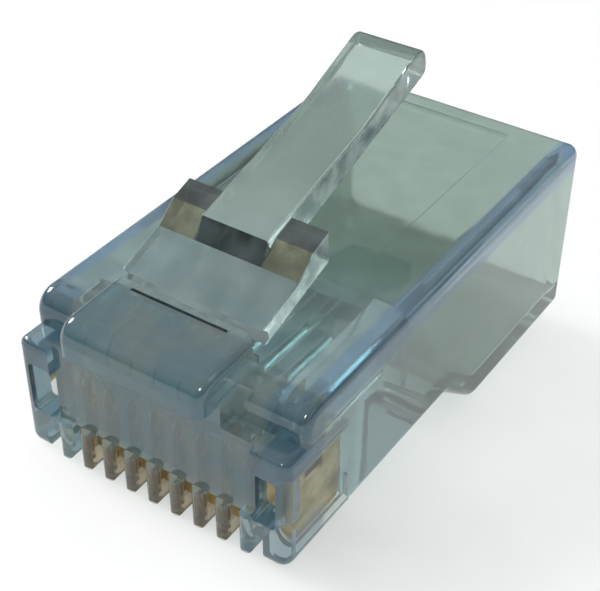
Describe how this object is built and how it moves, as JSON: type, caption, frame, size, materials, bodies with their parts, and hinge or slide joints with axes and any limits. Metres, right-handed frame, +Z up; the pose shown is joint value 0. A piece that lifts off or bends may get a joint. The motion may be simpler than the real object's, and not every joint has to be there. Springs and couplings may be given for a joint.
{
  "type": "rj45 modular plug",
  "caption": "Clear plastic rj45 modular plug with a flexible latch lever, gold-plated blade contacts and an open cable entry.",
  "frame": {"origin": "bottom centre of the whole plug's box, level with the underside of the rear section", "axes": "+Y from the contacts' end to the cable entry, +Z up to the latch's side, +X across"},
  "size_m": [0.0116, 0.0222, 0.0138],
  "materials": {
    "clear_plastic": "clear polycarbonate, polished mould",
    "gold": "thin gold plating over phosphor bronze"
  },
  "bodies": {
    "housing": {"housing": "clear_plastic"},
    "latch": {"latch": "clear_plastic"},
    "strain_relief": {"strain_relief": "clear_plastic"},
    "contact_1": {"contact_1": "gold"},
    "contact_2": {"contact_2": "gold"},
    "contact_3": {"contact_3": "gold"},
    "contact_4": {"contact_4": "gold"},
    "contact_5": {"contact_5": "gold"},
    "contact_6": {"contact_6": "gold"},
    "contact_7": {"contact_7": "gold"},
    "contact_8": {"contact_8": "gold"}
  },
  "joints": [
    {"name": "latch_hinge", "type": "hinge", "parent": "housing", "child": "latch", "pos_m": [0, -0.00777, 0.00897], "axis": [-1, 0, 0], "range_deg": [0, 19], "stiffness_Nm_per_rad": 0.05},
    {"name": "strain_relief_hinge", "type": "hinge", "parent": "housing", "child": "strain_relief", "pos_m": [0, 0.00056, 0.00248], "axis": [1, 0, 0], "range_deg": [0, 18]},
    {"name": "contact_1_crimp", "type": "slide", "parent": "housing", "child": "contact_1", "axis": [0, 0, 1], "range_m": [0, 0.00055]},
    {"name": "contact_2_crimp", "type": "slide", "parent": "housing", "child": "contact_2", "axis": [0, 0, 1], "range_m": [0, 0.00055]},
    {"name": "contact_3_crimp", "type": "slide", "parent": "housing", "child": "contact_3", "axis": [0, 0, 1], "range_m": [0, 0.00055]},
    {"name": "contact_4_crimp", "type": "slide", "parent": "housing", "child": "contact_4", "axis": [0, 0, 1], "range_m": [0, 0.00055]},
    {"name": "contact_5_crimp", "type": "slide", "parent": "housing", "child": "contact_5", "axis": [0, 0, 1], "range_m": [0, 0.00055]},
    {"name": "contact_6_crimp", "type": "slide", "parent": "housing", "child": "contact_6", "axis": [0, 0, 1], "range_m": [0, 0.00055]},
    {"name": "contact_7_crimp", "type": "slide", "parent": "housing", "child": "contact_7", "axis": [0, 0, 1], "range_m": [0, 0.00055]},
    {"name": "contact_8_crimp", "type": "slide", "parent": "housing", "child": "contact_8", "axis": [0, 0, 1], "range_m": [0, 0.00055]}
  ],
  "couplings": [
    {"joint": "contact_2_crimp", "follows": "contact_1_crimp", "ratio": 1},
    {"joint": "contact_3_crimp", "follows": "contact_1_crimp", "ratio": 1},
    {"joint": "contact_4_crimp", "follows": "contact_1_crimp", "ratio": 1},
    {"joint": "contact_5_crimp", "follows": "contact_1_crimp", "ratio": 1},
    {"joint": "contact_6_crimp", "follows": "contact_1_crimp", "ratio": 1},
    {"joint": "contact_7_crimp", "follows": "contact_1_crimp", "ratio": 1},
    {"joint": "contact_8_crimp", "follows": "contact_1_crimp", "ratio": 1}
  ]
}
